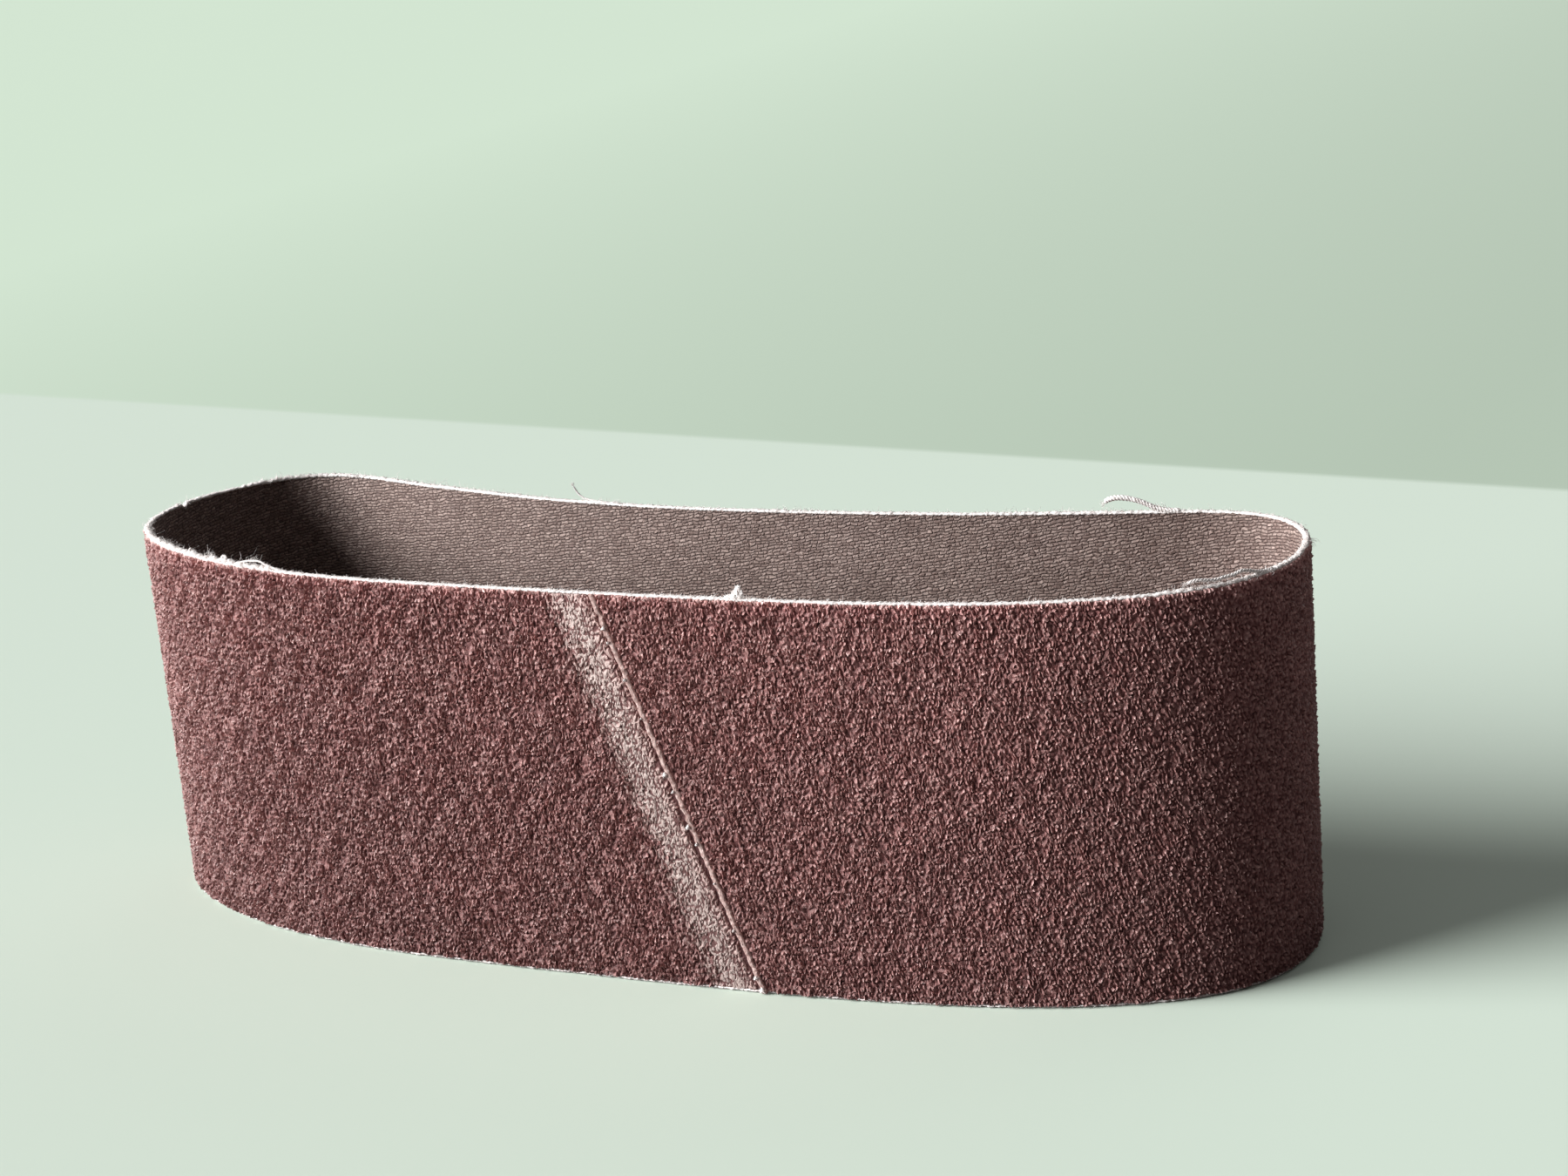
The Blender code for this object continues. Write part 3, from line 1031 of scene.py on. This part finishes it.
def buildTufts():
    random = np.random.default_rng(tufts["seed"])
    knot = tufts["knot"]
    piece, flat = mattedBall(knot["middle"], knot["reach"], knot["lean"], 5, random)
    piece.name = "tuft_front"
    finished(piece, cottonLook)
    paths, radii = [], []
    for _ in range(knot["fuzz"]):
        start = flat[random.integers(0, len(flat))]
        way = (start - knot["middle"]) / np.array(knot["reach"]) + random.normal(0, 0.5, 3)
        paths.append(hair(start, way, random.uniform(0.25, 0.7), random, 0.5))
        radii.append(hairShape(0.03, 0.3))
    cottonStrands("tuft_front_fuzz", paths, radii)

    balls, paths, radii = [], [], []
    for past, up, size in tufts["lap"]:
        at = (lap["place"] + lap["slant"] * (belt["width"] / 2 - up * mm) + edgeAt(up * mm)) / mm + past
        middle = np.array([at, 1.5, up])
        piece, flat = mattedBall(middle, (size * 0.9, 0.28, size * 1.1), 0.2, 3, random)
        balls.append(piece)
        for _ in range(int(60 * size)):
            start = flat[random.integers(0, len(flat))]
            way = (start - middle) * (1, 0.5, 1) + random.normal(0, 0.1, 3)
            paths.append(hair(start, way, random.uniform(0.6, 1.4) * size, random, 0.6))
            radii.append(hairShape(0.035, 0.4))
    cottonStrands("tufts_lap_fuzz", paths, radii)
    joinedTufts("tufts_lap", balls)
    joinedTufts("tufts_rim", [mattedBall((at, 0.35, up), (size * 1.3, 0.5, size), 0.1, 3, random)[0]
                              for at, up, size in tufts["rim"]])

    paths, radii = [], []
    for foot, way, length, count in tufts["wisps"]:
        for _ in range(count):
            start = np.array(foot) + random.normal(0, 1, 3) * (0.8, 0.12, 0.08)
            path = hair(start, way, length * random.uniform(0.6, 1.1), random, 0.35, 5)
            paths.append(smoothPath(path, 0.25))
            radii.append(0.038 * np.linspace(1.2, 0.4, len(paths[-1])))
    cottonStrands("wisps", paths, radii)


buildRimFibres()
buildYarns()
buildTufts()
print("loose cotton done")


# Stage, light and camera

stage = {"size": 14, "fold": (-130 * mm, 332 * mm), "turn": math.radians(-5.2)}


# Pale paper to the camera, which throws only a little neutral light back. Past the fold it is a
# little darker and glows, as paper that rises behind the belt
def paperFinish():
    made = Finish("paper")
    apart = made.add("SeparateXYZ")
    made.join(made.object(), apart.inputs["Vector"])
    past = made.ramp(apart.outputs["Y"], [(0.0, (0, 0, 0)), (0.004, (1, 1, 1))])
    rays = made.add("LightPath").outputs["Is Camera Ray"]
    seen = made.mix(past, tone(209, 225, 211), tone(106, 115, 106))
    glow = made.mix(past, (0.0, 0.0, 0.0), tone(182, 200, 181))
    # painted shade: the glow past the fold falls off towards the right, as the light does
    paintedFalloff = made.ramp(made.math("MULTIPLY_ADD", apart.outputs["X"], 0.8, 0.6),
                       [(0.2, (1.0, 1.0, 1.0)), (0.75, (0.62, 0.63, 0.62))])
    glow = made.mix(1.0, glow, paintedFalloff, "MULTIPLY")
    made.join(made.mix(rays, tone(124, 118, 116), seen), made.shader.inputs["Base Color"])
    made.join(made.mix(rays, (0.0, 0.0, 0.0), glow), made.shader.inputs["Emission Color"])
    made.shader.inputs["Emission Strength"].default_value = 1
    made.shader.inputs["Roughness"].default_value = 0.9
    return made.material


def buildStage():
    bpy.ops.object.select_all(action="DESELECT")
    bpy.ops.mesh.primitive_plane_add(size=stage["size"], location=(*stage["fold"], -0.2 * mm),
                                     rotation=(0, 0, stage["turn"]))
    floor = bpy.context.object
    floor.name = "floor"
    floor.data.materials.append(paperFinish())


# A wide soft light far away. In degrees: turn is anticlockwise from straight in front
def softLight(name, turn, height, spread, strength, colour=(1, 1, 1)):
    data = bpy.data.lights.new(name, "SUN")
    data.angle = math.radians(spread)
    data.energy = strength
    data.color = colour
    lamp = bpy.data.objects.new(name, data)
    lamp.rotation_euler = (math.radians(90 - height), 0, math.radians(turn))
    lamp.location = (0, 0, 1)
    bpy.context.collection.objects.link(lamp)


def buildLight():
    softLight("window", -57, 23, 36, 6.8, (1.0, 0.985, 0.985))
    softLight("fromBehind", 169, 28, 60, 0.3)
    softLight("above", 0, 84, 70, 0.25)
    world = bpy.data.worlds.new("room")
    bpy.context.scene.world = world
    world.use_nodes = True
    nodes, links = world.node_tree.nodes, world.node_tree.links
    rays = nodes.new("ShaderNodeLightPath")
    seen = nodes.new("ShaderNodeMix")
    seen.data_type = "RGBA"
    entries = {entry.name: entry for entry in seen.inputs if entry.enabled}
    entries["A"].default_value = (0.056, 0.052, 0.052, 1)
    entries["B"].default_value = (*tone(206, 223, 205), 1)
    links.new(rays.outputs["Is Camera Ray"], entries["Factor"])
    links.new([socket for socket in seen.outputs if socket.enabled][0], nodes["Background"].inputs["Color"])
    nodes["Background"].inputs["Strength"].default_value = 1


def buildCamera():
    view = {"place": (254.6 * mm, -485.8 * mm, 232.6 * mm), "yaw": 25.592, "pitch": 17.119, "roll": -4.892}
    data = bpy.data.cameras.new("camera")
    data.lens = 70
    data.sensor_width = 36
    data.clip_start = 0.01
    camera = bpy.data.objects.new("camera", data)
    turn = Matrix.Rotation(math.radians(view["yaw"]), 3, "Z")
    turn = turn @ Matrix.Rotation(math.radians(90 - view["pitch"]), 3, "X")
    turn = turn @ Matrix.Rotation(math.radians(view["roll"]), 3, "Z")
    camera.location = view["place"]
    camera.rotation_euler = turn.to_euler()
    bpy.context.collection.objects.link(camera)
    bpy.context.scene.camera = camera


buildStage()
buildLight()
buildCamera()
bpy.context.scene.view_settings.view_transform = "Standard"

print("cad box", [round(v / mm, 2) for v in (*cadLow, *cadHigh)])
